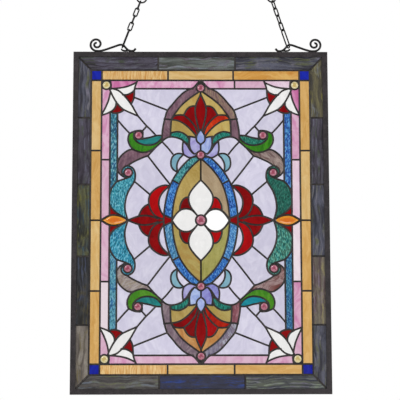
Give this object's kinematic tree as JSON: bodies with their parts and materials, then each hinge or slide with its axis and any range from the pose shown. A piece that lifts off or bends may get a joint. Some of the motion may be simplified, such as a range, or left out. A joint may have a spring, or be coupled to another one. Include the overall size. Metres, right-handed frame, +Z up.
{
  "type": "leaded glass window panel",
  "caption": "Tall hanging window panel of leaded coloured glass: scrolls, lilies and jewels round a medallion, in a dark metal frame on chains.",
  "frame": {"origin": "over the middle of the panel, level with the end rings of the two chains, where hooks hold it up", "axes": "+Z up along the panel's height, +X to the right seen from the front, -Y out of the front face"},
  "size_m": [0.457, 0.0142, 0.7214],
  "materials": {
    "dark_frame_metal": "dark purple-brown patina, matt, slightly worn",
    "wire_and_chain": "dark patina on wire, matt",
    "solder_patina": "charcoal patina on rounded solder lines, low sheen",
    "smoke_glass": "dark slag glass, streaked grey, blue and olive",
    "amber_glass": "amber opalescent glass with wisps",
    "cobalt_glass": "smooth cathedral glass",
    "yellow_jewel": "pressed and polished jewel",
    "rose_jewel": "pressed and polished jewel",
    "orange_jewel": "pressed and polished jewel",
    "white_glass": "dense white opalescent glass",
    "teal_glass": "streaky teal glass"
  },
  "bodies": {
    "root": {"frame_rail_top": "dark_frame_metal", "frame_rail_bottom": "dark_frame_metal", "frame_rail_left": "dark_frame_metal", "frame_rail_right": "dark_frame_metal", "scroll_hanger_left": "wire_and_chain", "scroll_hanger_right": "wire_and_chain", "hanging_chain_left": "wire_and_chain", "hanging_chain_right": "wire_and_chain", "leaded_field": "solder_patina", "border_glass_top_left": "smoke_glass", "border_glass_top_middle": "smoke_glass", "border_glass_top_right": "smoke_glass", "border_glass_bottom_left": "smoke_glass", "border_glass_bottom_middle": "smoke_glass", "border_glass_bottom_right": "smoke_glass", "border_glass_left_1": "smoke_glass", "border_glass_left_2": "smoke_glass", "border_glass_left_3": "smoke_glass", "border_glass_left_4": "smoke_glass", "border_glass_left_5": "smoke_glass", "border_glass_right_1": "smoke_glass", "border_glass_right_2": "smoke_glass", "border_glass_right_3": "smoke_glass", "border_glass_right_4": "smoke_glass", "border_glass_right_5": "smoke_glass", "corner_square_top_right": "cobalt_glass", "corner_square_top_left": "cobalt_glass", "corner_square_bottom_right": "cobalt_glass", "corner_square_bottom_left": "cobalt_glass", "amber_strip_top_left": "amber_glass", "amber_strip_top_middle": "amber_glass", "amber_strip_top_right": "amber_glass", "amber_strip_bottom_left": "amber_glass", "amber_strip_bottom_middle": "amber_glass", "amber_strip_bottom_right": "amber_glass", "amber_strip_left_1": "amber_glass", "amber_strip_left_2": "amber_glass", "amber_strip_left_3": "amber_glass", "amber_strip_left_4": "amber_glass", "amber_strip_right_1": "amber_glass", "amber_strip_right_2": "amber_glass", "amber_strip_right_3": "amber_glass", "amber_strip_right_4": "amber_glass", "corner_jewel_top_right": "yellow_jewel", "corner_jewel_top_left": "yellow_jewel", "corner_jewel_bottom_right": "yellow_jewel", "corner_jewel_bottom_left": "yellow_jewel", "centre_jewel": "rose_jewel", "marquise_jewel_left": "orange_jewel", "marquise_jewel_right": "orange_jewel", "flower_petal_top": "white_glass", "flower_petal_bottom": "white_glass", "flower_petal_left": "white_glass", "flower_petal_right": "white_glass", "teal_leaf_top_right": "teal_glass", "teal_leaf_top_left": "teal_glass", "teal_leaf_bottom_right": "teal_glass", "teal_leaf_bottom_left": "teal_glass"}
  },
  "joints": []
}
